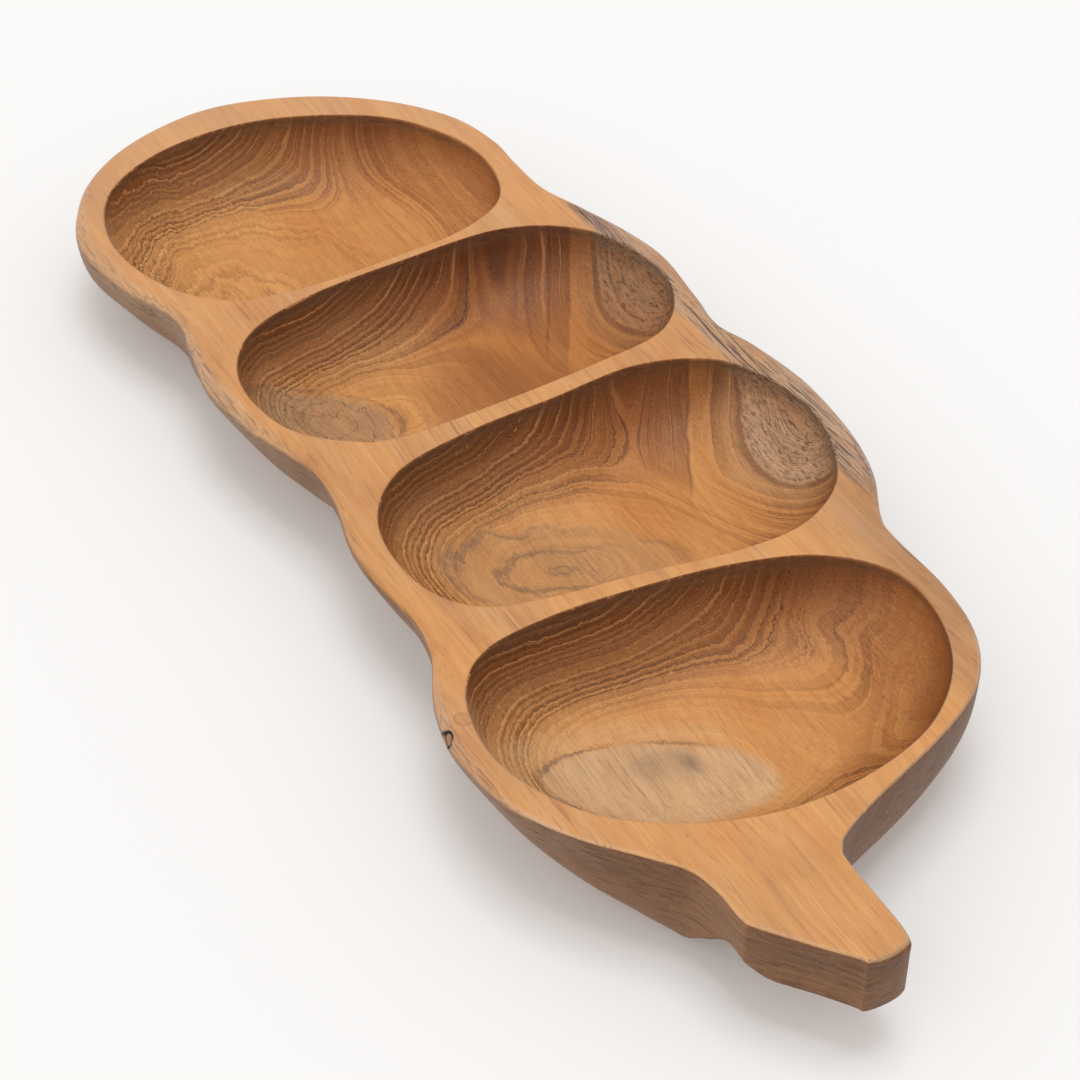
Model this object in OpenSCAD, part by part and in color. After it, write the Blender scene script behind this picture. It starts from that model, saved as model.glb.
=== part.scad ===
// Sorting bowl: a lobed tray with a stem and four scooped compartments, carved from one block of wood.
// X runs along the tray towards the stem, Z is up and the flat base stands on Z = 0.
// The outline and the compartments are closed smooth curves through points given as shares of the
// length and width. The outside and each compartment are lofts of rings made from those curves.

/* [Overall size] */
// Length from the far rim to the tip of the stem
tray_length = 450; // [380:5:520]
// Width over the widest lobes
tray_width = 173; // [146:1:200]
// Height of the flat top above the base
tray_height = 36; // [32:1:42]

/* [Outer edge] */
// Radius of the worn, rounded outer edge where it is softest
edge_round = 7; // [4:0.5:9]
// Place of the foot of the side under the lobes, as a part of the way from the middle line to the edge
foot_share = 0.44; // [0.36:0.02:0.5]
// The same beside the stem, where the base reaches nearer to the edge
neck_foot_share = 0.62; // [0.52:0.02:0.68]

/* [Stem] */
// Thickness of the stem at its tip
stem_thick = 18; // [15:1:22]
// Thickness of the stem at its neck, where its edge is carved away underneath
neck_thick = 13; // [11:0.5:15]
// Distance from the tip of the stem to the base under its root
root_reach = 64; // [58:1:74]

/* [Compartments] */
// Depth of the compartments at the middle
bowl_depth = 26; // [20:1:28]
// Easing of the compartment's sharp top edge
lip_ease = 0.9; // [0.5:0.1:1.4]
// How flat the floor stays before it turns up into the wall
floor_flatness = 3; // [2.4:0.2:3.8]

/* [Encased knot] */
// Diameter of the branch knot at the surface
knot_d = 3.2; // [2.6:0.1:4]
// Diameter of the branch knot at its root in the wood
knot_root_d = 1.8; // [1.4:0.1:2.4]
// Thickness of the dark bark ring round the knot
bark_wall = 0.7; // [0.5:0.05:1]
// Depth of the knot below the surface
knot_deep = 6; // [5:0.5:7]
// Shrinkage gap round the knot and round its bark ring
shrink_gap = 0.1; // [0.05:0.05:0.2]

/* [Hidden] */

wood_color = [0.82, 0.60, 0.38];
knot_color = [0.55, 0.36, 0.22];
bark_color = [0.10, 0.08, 0.07];

// Points on one curve between two outline points
curve_steps = 3;
// Rings in the rounded edge, in the side below it and in a compartment
edge_rings = 4;
side_rings = 12;
bowl_rings = 11;
// Run of a cut past the surface it opens
overrun = 1;

// Outline, anticlockwise from the tip of the stem: x share, y share, share of edge_round, and the
// fullness of the side below it (1 is a straight slope, 2 a quarter ellipse, 5 nearly a square corner).
stem_right_shares = [
    [0.500, -0.128, 0.40, 3.0], [0.488, -0.110, 0.30, 3.0], [0.436, -0.109, 0.15, 3.0],
    [0.423, -0.101, 0.15, 3.0], [0.414, -0.074, 0.15, 3.0]
];
fourth_lobe_right_shares = [
    [0.401, 0.000, 0.15, 3.2], [0.375, 0.175, 0.20, 3.0], [0.350, 0.281, 0.25, 2.8],
    [0.314, 0.347, 0.35, 2.6], [0.268, 0.375, 0.45, 2.4]
];
third_lobe_right_shares = [
    [0.211, 0.377, 0.50, 2.2], [0.189, 0.391, 0.60, 2.2], [0.149, 0.450, 0.80, 2.2],
    [0.103, 0.486, 1.00, 2.2], [0.043, 0.498, 1.00, 2.2], [-0.010, 0.478, 0.90, 2.2]
];
second_lobe_right_shares = [
    [-0.045, 0.451, 0.80, 2.1], [-0.085, 0.465, 0.90, 2.1], [-0.138, 0.482, 0.90, 2.1],
    [-0.179, 0.465, 0.80, 2.1], [-0.224, 0.425, 0.60, 2.1]
];
far_end_shares = [
    [-0.263, 0.390, 0.50, 2.0], [-0.305, 0.386, 0.45, 2.0], [-0.345, 0.388, 0.45, 2.0],
    [-0.393, 0.356, 0.45, 2.0], [-0.441, 0.263, 0.45, 2.0], [-0.479, 0.121, 0.45, 2.0],
    [-0.500, -0.051, 0.60, 2.0], [-0.494, -0.195, 0.75, 2.0], [-0.469, -0.338, 0.95, 2.1],
    [-0.424, -0.443, 1.00, 2.2], [-0.367, -0.491, 0.90, 2.1], [-0.305, -0.477, 0.75, 1.9],
    [-0.261, -0.443, 0.50, 2.1]
];
second_lobe_left_shares = [
    [-0.230, -0.428, 0.45, 2.4], [-0.199, -0.443, 0.70, 2.1], [-0.151, -0.457, 0.85, 1.5],
    [-0.096, -0.439, 0.75, 1.7], [-0.056, -0.414, 0.55, 1.8]
];
third_lobe_left_shares = [
    [-0.029, -0.397, 0.45, 1.8], [0.004, -0.401, 0.60, 1.6], [0.048, -0.424, 0.85, 1.4],
    [0.096, -0.423, 0.80, 1.5]
];
fourth_lobe_left_shares = [
    [0.134, -0.416, 0.60, 1.7], [0.167, -0.433, 0.55, 1.9], [0.207, -0.479, 0.70, 1.6],
    [0.251, -0.498, 0.60, 1.4], [0.299, -0.488, 0.30, 1.5], [0.341, -0.436, 0.15, 2.1],
    [0.374, -0.365, 0.15, 2.9]
];
stem_left_shares = [
    [0.396, -0.319, 0.15, 3.6], [0.418, -0.305, 0.15, 4.6], [0.440, -0.303, 0.15, 4.2],
    [0.451, -0.289, 0.15, 3.7], [0.492, -0.204, 0.15, 3.3], [0.500, -0.186, 0.15, 3.0]
];
outline_shares = concat(
    stem_right_shares, fourth_lobe_right_shares, third_lobe_right_shares, second_lobe_right_shares,
    far_end_shares, second_lobe_left_shares, third_lobe_left_shares, fourth_lobe_left_shares,
    stem_left_shares
);

// Top edges of the four compartments, from the far end to the stem: x share, y share.
first_bowl_shares = [
    [-0.226, -0.195], [-0.230, 0.006], [-0.239, 0.173], [-0.265, 0.288], [-0.316, 0.330],
    [-0.367, 0.305], [-0.416, 0.219], [-0.451, 0.052], [-0.460, -0.103], [-0.446, -0.264],
    [-0.409, -0.388], [-0.349, -0.442], [-0.283, -0.414], [-0.239, -0.327]
];
second_bowl_shares = [
    [-0.032, -0.207], [-0.035, -0.011], [-0.042, 0.178], [-0.054, 0.334], [-0.093, 0.420],
    [-0.142, 0.431], [-0.195, 0.374], [-0.224, 0.236], [-0.222, 0.023], [-0.213, -0.184],
    [-0.190, -0.333], [-0.142, -0.407], [-0.080, -0.391], [-0.042, -0.299]
];
third_bowl_shares = [
    [0.158, -0.218], [0.167, -0.040], [0.177, 0.121], [0.175, 0.253], [0.149, 0.365],
    [0.101, 0.431], [0.052, 0.440], [-0.001, 0.382], [-0.025, 0.242], [-0.020, 0.058],
    [-0.014, -0.126], [0.003, -0.281], [0.046, -0.368], [0.105, -0.376], [0.143, -0.322]
];
fourth_bowl_shares = [
    [0.382, -0.143], [0.383, 0.006], [0.367, 0.155], [0.332, 0.265], [0.286, 0.319],
    [0.242, 0.314], [0.207, 0.230], [0.188, 0.092], [0.179, -0.069], [0.176, -0.230],
    [0.185, -0.362], [0.218, -0.436], [0.273, -0.454], [0.328, -0.393], [0.363, -0.281]
];
bowl_shares = [first_bowl_shares, second_bowl_shares, third_bowl_shares, fourth_bowl_shares];

// Middle line that the sides lean towards: its two ends, and where it starts to bend to the stem.
spine_far_share = -0.33;
spine_bend_share = 0.12;
spine_near_share = 0.25;
spine_mid_share = -0.01;
spine_root_share = -0.165;
// Where the base widens towards the stem.
widen_start_share = 0.34;
widen_full_share = 0.40;
// Where the stem begins and where it is complete.
stem_start_share = 0.395;
stem_full_share = 0.435;
// Neck of the stem, where it is thinnest, and where it has its full thickness.
neck_share = 0.435;
thick_start_share = 0.46;
// Width left of the stem's outline where its underside meets the base.
root_width_share = 0.8;
// Share of a side's run at which the stem's underside starts to fall to the base.
fall_start_share = 0.2;

// Outline point beside the encased knot: x share, y share, share of edge_round.
knot_edge_shares = [0.234, -0.494, 0.66];
// Lean of the knot from upright, and the direction it leans to, square to the outline.
knot_lean = 74;
knot_turn = -98;

function smooth_step(t) = let (u = min(max(t, 0), 1)) u * u * (3 - 2 * u);
function between(a, b, t) = a * (1 - t) + b * t;

// Smooth curve through points b and c at t from 0 to 1, steered by their neighbours a and d.
function curve_point(a, b, c, d, t) =
    (2 * b + (c - a) * t + (2 * a - 5 * b + 4 * c - d) * t * t
    + (3 * b - a - 3 * c + d) * t * t * t) / 2;

// Closed curve through every point of a list, with a number of steps between two points.
function closed_curve(points, steps) =
    let (n = len(points))
    [for (i = [0 : n - 1]) for (s = [0 : steps - 1])
        curve_point(points[(i + n - 1) % n], points[i], points[(i + 1) % n],
            points[(i + 2) % n], s / steps)];

function in_size(p) = [p[0] * tray_length, p[1] * tray_width];
function middle(points) = [for (p = points) 1] * points / len(points);

// Point of the middle line that belongs to a place of the outline.
function spine_point(p) =
    let (x = min(max(p[0], spine_far_share), spine_near_share),
        bend = smooth_step((x - spine_bend_share) / (spine_near_share - spine_bend_share)))
    in_size([x, between(spine_mid_share, spine_root_share, bend)]);

// A side seen in section: t goes from 0 at the edge to 1 at the foot of the side.
function run_at(t, fullness) = 1 - pow(cos(90 * t), 2 / fullness);
function drop_at(t, fullness) = pow(sin(90 * t), 2 / fullness);

function stem_weight(p) =
    smooth_step((p[0] - stem_start_share) / (stem_full_share - stem_start_share));
function thick_at(p) =
    between(neck_thick, stem_thick,
        smooth_step((p[0] - neck_share) / (thick_start_share - neck_share)));

// Direction pointing into the tray at point i of a closed curve.
function inward(points, i) =
    let (n = len(points),
        along = in_size(points[(i + 1) % n]) - in_size(points[(i + n - 1) % n]))
    [-along[1], along[0]] / norm(along);

function foot_share_at(p) =
    between(foot_share, neck_foot_share,
        smooth_step((p[0] - widen_start_share) / (widen_full_share - widen_start_share)));

// Foot of the side: under the lobes it lies on the line from the middle line to the edge, and under
// the stem on a short line across the tray where the base ends.
function foot_of(p) =
    let (heart = spine_point(p), stem_y = between(heart[1], p[1] * tray_width, root_width_share))
    between(between(heart, in_size(p), foot_share_at(p)),
        [tray_length / 2 - root_reach, stem_y], stem_weight(p));

// Body: the side falls and runs in together, as a quarter of a full ellipse.
function body_side(p, t) =
    let (ease = p[2] * edge_round, place = between(in_size(p), foot_of(p), run_at(t, p[3])))
    [place[0], place[1], (tray_height - ease) * (1 - drop_at(t, p[3]))];

// Stem: an upright side as deep as the stem, then an underside that falls to the base.
function stem_side(p, t) =
    let (upright = min(t * 3, 1), under = max((t * 3 - 1) / 2, 0),
        place = between(in_size(p), foot_of(p), under), thick = thick_at(p),
        fall = smooth_step((under - fall_start_share) / (1 - fall_start_share)))
    [place[0], place[1],
        upright < 1 ? tray_height - between(p[2] * edge_round, thick, upright)
        : (tray_height - thick) * (1 - fall)];

function side_ring(points, t) =
    [for (p = points) between(body_side(p, t), stem_side(p, t), stem_weight(p))];

// Rounded edge: a quarter circle from the flat top, at angle 0, to the outline, at angle 90.
function edge_ring(points, angle) =
    [for (i = [0 : len(points) - 1])
        let (ease = points[i][2] * edge_round,
            place = in_size(points[i]) + inward(points, i) * ease * (1 - sin(angle)))
        [place[0], place[1], tray_height - ease * (1 - cos(angle))]];

// Ring of a compartment: its top edge drawn in towards its middle and set to a height.
function bowl_ring(points, share, z) =
    let (centre = middle(points))
    [for (p = points) let (q = between(centre, p, share)) [q[0], q[1], z]];

// Depth share of a compartment at a place share: 1 at the wall's top edge, 0 at the middle.
function bowl_drop(share) = sqrt(1 - pow(share, floor_flatness));

// Closed skin over a stack of rings that run anticlockwise and are listed from the top down.
module loft(rings) {
    n = len(rings[0]);
    last = len(rings) - 1;
    polyhedron(
        points = [for (ring = rings) for (p = ring) p],
        faces = concat(
            [[for (i = [n - 1 : -1 : 0]) i]],
            [for (k = [0 : last - 1]) for (i = [0 : n - 1])
                [k * n + i, k * n + (i + 1) % n, (k + 1) * n + (i + 1) % n]],
            [for (k = [0 : last - 1]) for (i = [0 : n - 1])
                [k * n + i, (k + 1) * n + (i + 1) % n, (k + 1) * n + i]],
            [[for (i = [0 : n - 1]) last * n + i]]
        )
    );
}

module outer_form() {
    points = closed_curve(outline_shares, curve_steps);
    loft(concat(
        [for (k = [0 : edge_rings - 1]) edge_ring(points, 90 * k / edge_rings)],
        [for (k = [0 : side_rings]) side_ring(points, k / side_rings)]
    ));
}

// One compartment, with its lip eased and its top carried past the flat top of the tray.
module bowl(shares) {
    points = [for (p = closed_curve(shares, curve_steps)) in_size(p)];
    half = norm(points[0] - middle(points));
    lip = lip_ease / half;
    loft(concat(
        [bowl_ring(points, 1 + lip, tray_height + overrun)],
        [for (angle = [0 : 45 : 45])
            bowl_ring(points, 1 + lip * (1 - sin(angle)),
                tray_height - lip_ease * (1 - cos(angle)))],
        [for (k = [0 : bowl_rings - 1])
            let (share = cos(90 * pow(k / bowl_rings, 1.2)))
            bowl_ring(points, share,
                tray_height - lip_ease - (bowl_depth - lip_ease) * bowl_drop(share))],
        [bowl_ring(points, lip, tray_height - bowl_depth)]
    ));
}

// Frame of the knot: its mouth lies on the rounded edge and its root points into the wood.
module at_knot() {
    edge = in_size(knot_edge_shares);
    ease = knot_edge_shares[2] * edge_round;
    inset = ease * (1 - sin(knot_lean));
    translate([edge[0] - inset * cos(knot_turn), edge[1] - inset * sin(knot_turn),
            tray_height - ease * (1 - cos(knot_lean))])
        rotate([0, knot_lean, knot_turn])
            children();
}

// Tapered plug in the knot's frame: a distance wider than the knot all round, run on past the
// surface and past the root by given lengths at the same taper.
module knot_plug(wider, past_mouth, past_root) {
    taper = (knot_d - knot_root_d) / knot_deep;
    translate([0, 0, -knot_deep - past_root])
        cylinder(
            d1 = knot_root_d + 2 * wider - taper * past_root,
            d2 = knot_d + 2 * wider + taper * past_mouth,
            h = knot_deep + past_mouth + past_root
        );
}

// Wood kept by the rounded edge at the knot, so that the knot ends flush with the carved surface.
module edge_roll() {
    ease = knot_edge_shares[2] * edge_round;
    translate([0, 0, -ease])
        rotate([90, 0, 0])
            cylinder(r = ease, h = 2 * knot_deep, center = true);
}

module tray_body() {
    color(wood_color)
        difference() {
            resize([tray_length, tray_width, tray_height])
                difference() {
                    outer_form();
                    for (shares = bowl_shares) bowl(shares);
                }
            at_knot() knot_plug(bark_wall + 2 * shrink_gap, overrun, 0);
        }
}

module encased_knot() {
    color(knot_color)
        at_knot()
            intersection() {
                knot_plug(0, overrun, 0);
                edge_roll();
            }
}

module knot_bark_ring() {
    color(bark_color)
        at_knot()
            intersection() {
                difference() {
                    knot_plug(bark_wall + shrink_gap, overrun, 0);
                    knot_plug(shrink_gap, 2 * overrun, overrun);
                }
                edge_roll();
            }
}

tray_body();
encased_knot();
knot_bark_ring();
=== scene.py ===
"""Sorting bowl: a lobed tray with four scooped compartments and a stem, carved from one teak block."""

import bpy
import numpy as np
from mathutils import Matrix, Vector
from mathutils.geometry import delaunay_2d_cdt


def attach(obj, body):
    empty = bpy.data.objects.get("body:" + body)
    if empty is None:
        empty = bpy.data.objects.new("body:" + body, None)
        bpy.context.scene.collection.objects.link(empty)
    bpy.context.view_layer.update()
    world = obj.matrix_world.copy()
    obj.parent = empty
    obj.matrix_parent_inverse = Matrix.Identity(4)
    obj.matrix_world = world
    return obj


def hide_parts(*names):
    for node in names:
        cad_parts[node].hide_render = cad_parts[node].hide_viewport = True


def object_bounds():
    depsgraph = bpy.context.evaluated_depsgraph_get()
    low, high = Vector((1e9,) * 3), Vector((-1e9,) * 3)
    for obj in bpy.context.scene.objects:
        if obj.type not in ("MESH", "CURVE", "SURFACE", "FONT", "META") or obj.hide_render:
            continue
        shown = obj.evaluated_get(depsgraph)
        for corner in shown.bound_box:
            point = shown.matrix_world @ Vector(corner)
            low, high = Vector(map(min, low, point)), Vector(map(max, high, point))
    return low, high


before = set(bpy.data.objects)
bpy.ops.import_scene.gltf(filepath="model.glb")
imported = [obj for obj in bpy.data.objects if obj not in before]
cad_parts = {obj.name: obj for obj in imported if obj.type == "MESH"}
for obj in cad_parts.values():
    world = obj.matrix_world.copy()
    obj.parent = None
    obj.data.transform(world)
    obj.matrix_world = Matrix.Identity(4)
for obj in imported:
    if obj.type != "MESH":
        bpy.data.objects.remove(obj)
cad_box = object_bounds()

# Carved tray
# The one carved block: lobed outline, flat sanded top, four scooped compartments and a faceted
# stem. Band-sawn to its outline from a flat-sawn teak plank, hollowed with a gouge, sanded and oiled.

# Length, width and height, the edge's radius, the stem's and neck's thickness, how far the stem's
# root lies in from its tip, and the compartments' depth and lip, in millimetres. The foot shares
# say how far the foot lies towards the edge, and a greater FLOOR_FLATNESS gives flatter floors.
LENGTH, WIDTH, HEIGHT = 450.0, 173.0, 36.0
EDGE_ROUND = 7.0
FOOT_SHARE, NECK_FOOT_SHARE = 0.44, 0.62
STEM_THICK, NECK_THICK, ROOT_REACH = 18.0, 13.0, 64.0
BOWL_DEPTH, LIP_EASE, FLOOR_FLATNESS = 26.0, 0.9, 3.0

# Outline, anticlockwise from the stem's tip: x share, y share, share of EDGE_ROUND, and how full
# the side below is, from 1 for a straight slope to 5 for nearly a square corner.
OUTLINE = np.array([
    # Stem, right side
    [0.500, -0.128, 0.40, 3.0], [0.488, -0.110, 0.30, 3.0], [0.436, -0.109, 0.15, 3.0],
    [0.423, -0.101, 0.15, 3.0], [0.414, -0.074, 0.15, 3.0],
    # Fourth lobe, right
    [0.401, 0.000, 0.15, 3.2], [0.375, 0.175, 0.20, 3.0], [0.350, 0.281, 0.25, 2.8],
    [0.314, 0.347, 0.35, 2.6], [0.268, 0.375, 0.45, 2.4],
    # Third lobe, right
    [0.211, 0.377, 0.50, 2.2], [0.189, 0.391, 0.60, 2.2], [0.149, 0.450, 0.80, 2.2],
    [0.103, 0.486, 1.00, 2.2], [0.043, 0.498, 1.00, 2.2], [-0.010, 0.478, 0.90, 2.2],
    # Second lobe, right
    [-0.045, 0.451, 0.80, 2.1], [-0.085, 0.465, 0.90, 2.1], [-0.138, 0.482, 0.90, 2.1],
    [-0.179, 0.465, 0.80, 2.1], [-0.224, 0.425, 0.60, 2.1],
    # Far lobe
    [-0.263, 0.390, 0.50, 2.0], [-0.305, 0.386, 0.45, 2.0], [-0.345, 0.388, 0.45, 2.0],
    [-0.393, 0.356, 0.45, 2.0], [-0.441, 0.263, 0.45, 2.0], [-0.479, 0.121, 0.45, 2.0],
    [-0.500, -0.051, 0.60, 2.0], [-0.494, -0.195, 0.75, 2.0], [-0.469, -0.338, 0.95, 2.1],
    [-0.424, -0.443, 1.00, 2.2], [-0.367, -0.491, 0.90, 2.1], [-0.305, -0.477, 0.75, 1.9],
    [-0.261, -0.443, 0.50, 2.1],
    # Second lobe, left
    [-0.230, -0.428, 0.45, 2.4], [-0.199, -0.443, 0.70, 2.1], [-0.151, -0.457, 0.85, 1.5],
    [-0.096, -0.439, 0.75, 1.7], [-0.056, -0.414, 0.55, 1.8],
    # Third lobe, left
    [-0.029, -0.397, 0.45, 1.8], [0.004, -0.401, 0.60, 1.6], [0.048, -0.424, 0.85, 1.4],
    [0.096, -0.423, 0.80, 1.5],
    # Fourth lobe, left
    [0.134, -0.416, 0.60, 1.7], [0.167, -0.433, 0.55, 1.9], [0.207, -0.479, 0.70, 1.6],
    [0.251, -0.498, 0.60, 1.4], [0.299, -0.488, 0.30, 1.5], [0.341, -0.436, 0.15, 2.1],
    [0.374, -0.365, 0.15, 2.9],
    # Stem, left side
    [0.396, -0.319, 0.15, 3.6], [0.418, -0.305, 0.15, 4.6], [0.440, -0.303, 0.15, 4.2],
    [0.451, -0.289, 0.15, 3.7], [0.492, -0.204, 0.15, 3.3], [0.500, -0.186, 0.15, 3.0],
])

# Top edges of the four compartments, from the far end to the stem: x share, y share.
BOWLS = [np.array(shares) for shares in (
    [[-0.226, -0.195], [-0.230, 0.006], [-0.239, 0.173], [-0.265, 0.288], [-0.316, 0.330],
     [-0.367, 0.305], [-0.416, 0.219], [-0.451, 0.052], [-0.460, -0.103], [-0.446, -0.264],
     [-0.409, -0.388], [-0.349, -0.442], [-0.283, -0.414], [-0.239, -0.327]],
    [[-0.032, -0.207], [-0.035, -0.011], [-0.042, 0.178], [-0.054, 0.334], [-0.093, 0.420],
     [-0.142, 0.431], [-0.195, 0.374], [-0.224, 0.236], [-0.222, 0.023], [-0.213, -0.184],
     [-0.190, -0.333], [-0.142, -0.407], [-0.080, -0.391], [-0.042, -0.299]],
    [[0.158, -0.218], [0.167, -0.040], [0.177, 0.121], [0.175, 0.253], [0.149, 0.365],
     [0.101, 0.431], [0.052, 0.440], [-0.001, 0.382], [-0.025, 0.242], [-0.020, 0.058],
     [-0.014, -0.126], [0.003, -0.281], [0.046, -0.368], [0.105, -0.376], [0.143, -0.322]],
    [[0.382, -0.143], [0.383, 0.006], [0.367, 0.155], [0.332, 0.265], [0.286, 0.319],
     [0.242, 0.314], [0.207, 0.230], [0.188, 0.092], [0.179, -0.069], [0.176, -0.230],
     [0.185, -0.362], [0.218, -0.436], [0.273, -0.454], [0.328, -0.393], [0.363, -0.281]],
)]

# Places along the tray, as shares of the length: the ends of the bent middle line, and where it
# turns, the neck and stem begin and the tip thickens, each with the share over which it blends.
SPINE_FROM, SPINE_TO = -0.33, 0.25
SPINE_TURN, SPINE_TURN_BLEND = 0.12, 0.13
NECK_FROM, NECK_BLEND = 0.34, 0.06
STEM_FROM, STEM_BLEND = 0.395, 0.04
TIP_FROM, TIP_BLEND = 0.435, 0.025
# The middle line's y before and after its turn, as shares of the width, the width of the stem's
# root as a share of the edge's, and the least share of EDGE_ROUND that an edge keeps.
SPINE_Y, SPINE_STEM_Y, ROOT_SHARE, LEAST_EASE = -0.01, -0.165, 0.8, 0.1

# Places from one point of a curve to the next, and rings in each part of the lofts. Above 1,
# RING_SPREAD crowds a hollow's rings towards its lip.
OUTLINE_STEPS, BOWL_STEPS = 8, 20
EDGE_RINGS, SIDE_RINGS, LIP_RINGS, HOLLOW_RINGS = 8, 37, 6, 40
RING_SPREAD = 1.2
# Hand-cut unevenness: its length and reach, and how far from the top and the base it fades.
SIDE_RIPPLE, SIDE_FADE, BASE_FADE = (34.0, 0.45), 6.0, 3.0
HOLLOW_RIPPLE, HOLLOW_FADE = (41.0, 0.35), 5.0
# How far the point that closes a hollow dips, and the line of points along each edge of the top.
CENTRE_DIP, TOP_BORDER = 0.004, 0.5
MM = 1000.0


def smooth(t):
    """u u (3 - 2u), where u is t held between 0 and 1."""
    u = np.clip(t, 0.0, 1.0)
    return u * u * (3.0 - 2.0 * u)


def blend(a, b, t):
    """a (1 - t) + b t, t being one number, or one for each row."""
    t = np.asarray(t, float)
    if np.ndim(a) > np.ndim(t):
        t = t[..., None]
    return a * (1.0 - t) + b * t


def closed_curve(points, steps):
    """Catmull-Rom curve through a closed list of points, with steps places from one to the next."""
    a, b = np.roll(points, 1, 0), points
    c, d = np.roll(points, -1, 0), np.roll(points, -2, 0)
    t = (np.arange(steps) / steps)[None, :, None]
    a, b, c, d = (v[:, None, :] for v in (a, b, c, d))
    curve = (2 * b + (c - a) * t + (2 * a - 5 * b + 4 * c - d) * t**2
             + (3 * b - a - 3 * c + d) * t**3) / 2
    return curve.reshape(-1, points.shape[1])


def ripple(place, size, reach):
    """Uneven hand-cut surface: reach times the mean of six plane waves about size long."""
    turns = np.array([[1.0, 0.3, 0.5], [-0.4, 1.1, 0.3], [0.7, -0.8, 0.9],
                      [0.2, 0.6, -1.2], [-1.3, 0.5, 0.4], [0.9, 1.2, -0.3]])
    starts = np.array([0.3, 1.9, 3.1, 4.4, 5.2, 0.9])
    return reach * np.sin(place @ turns.T * (2 * np.pi / size) + starts).mean(axis=1)


rim = closed_curve(OUTLINE, OUTLINE_STEPS)
edge = rim[:, :2] * [LENGTH, WIDTH]
ease = np.maximum(rim[:, 2], LEAST_EASE) * EDGE_ROUND
full = rim[:, 3]
along = np.roll(edge, -1, 0) - np.roll(edge, 1, 0)
inward = np.stack([-along[:, 1], along[:, 0]], 1) / np.linalg.norm(along, axis=1)[:, None]

# The foot of the side lies on the way from a bent middle line to the edge; under the stem it
# lies on a short line across the tray.
spine_x = np.clip(rim[:, 0], SPINE_FROM, SPINE_TO)
spine_y = blend(SPINE_Y, SPINE_STEM_Y, smooth((spine_x - SPINE_TURN) / SPINE_TURN_BLEND))
spine = np.stack([spine_x * LENGTH, spine_y * WIDTH], 1)
stem = smooth((rim[:, 0] - STEM_FROM) / STEM_BLEND)
foot_share = blend(FOOT_SHARE, NECK_FOOT_SHARE, smooth((rim[:, 0] - NECK_FROM) / NECK_BLEND))
root_x = np.full(len(rim), LENGTH / 2 - ROOT_REACH)
root = np.stack([root_x, blend(spine[:, 1], edge[:, 1], ROOT_SHARE)], 1)
foot = blend(blend(spine, edge, foot_share), root, stem)
thick = blend(NECK_THICK, STEM_THICK, smooth((rim[:, 0] - TIP_FROM) / TIP_BLEND))


def side_ring(t):
    """A ring of the side, t from 0 at the edge to 1 at the foot: a quarter of the superellipse
    u**full + v**full = 1, blended on the stem with an upright side over a falling underside."""
    run = 1.0 - np.cos(np.pi / 2 * t) ** (2.0 / full)
    drop = np.sin(np.pi / 2 * t) ** (2.0 / full)
    body = np.column_stack([blend(edge, foot, run), (HEIGHT - ease) * (1.0 - drop)])
    upright, under = min(3 * t, 1.0), max((3 * t - 1) / 2, 0.0)
    fall = smooth((under - 0.2) / 0.8)
    if upright < 1:
        height = HEIGHT - (ease * (1 - upright) + thick * upright)
    else:
        height = (HEIGHT - thick) * (1.0 - fall)
    lower = np.column_stack([blend(edge, foot, under), height])
    return blend(body, lower, stem)


rings = []
for angle in np.linspace(0.0, np.pi / 2, EDGE_RINGS)[:-1]:
    drawn_in = edge + inward * (ease * (1 - np.sin(angle)))[:, None]
    rings.append(np.column_stack([drawn_in, HEIGHT - ease * (1 - np.cos(angle))]))
for t in np.linspace(0.0, 1.0, SIDE_RINGS):
    rings.append(side_ring(t))
outer = np.array(rings)
dent = ripple(outer.reshape(-1, 3), *SIDE_RIPPLE).reshape(outer.shape[:2])
dent *= smooth((HEIGHT - outer[..., 2]) / SIDE_FADE) * smooth(outer[..., 2] / BASE_FADE)
outer[..., :2] += inward[None] * dent[..., None]

hollows = []
for shares in BOWLS:
    brink = closed_curve(shares, BOWL_STEPS) * [LENGTH, WIDTH]
    centre = brink.mean(0)
    lip = LIP_EASE / np.linalg.norm(brink[0] - centre)
    stack = []
    for angle in np.linspace(0.0, np.pi / 2, LIP_RINGS)[:-1]:
        stack.append((1 + lip * (1 - np.sin(angle)), HEIGHT - LIP_EASE * (1 - np.cos(angle))))
    for k in np.linspace(0.0, 1.0, HOLLOW_RINGS)[:-1]:
        share = np.cos(np.pi / 2 * k**RING_SPREAD)
        drop = np.sqrt(1 - share**FLOOR_FLATNESS)
        stack.append((share, HEIGHT - LIP_EASE - (BOWL_DEPTH - LIP_EASE) * drop))
    stack.append((lip, HEIGHT - BOWL_DEPTH))
    hollow = np.array([np.column_stack([centre + (brink - centre) * share, np.full(len(brink), height)])
                       for share, height in stack])
    wave = ripple(hollow.reshape(-1, 3), *HOLLOW_RIPPLE).reshape(hollow.shape[:2])
    wave *= smooth((HEIGHT - hollow[..., 2]) / HOLLOW_FADE)
    hollow[..., 2] += wave
    hollows.append((hollow, centre))


def within(spots, loop):
    """Even-odd test: True where a ray along +X from the point crosses the loop an odd number of times."""
    x, y = spots[:, 0][:, None], spots[:, 1][:, None]
    a, b = loop, np.roll(loop, -1, 0)
    cuts = (a[:, 1] > y) != (b[:, 1] > y)
    rise = np.where(b[:, 1] == a[:, 1], 1.0, b[:, 1] - a[:, 1])
    at = a[:, 0] + (y - a[:, 1]) * (b[:, 0] - a[:, 0]) / rise
    return (cuts & (x < at)).sum(1) % 2 == 1


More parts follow.
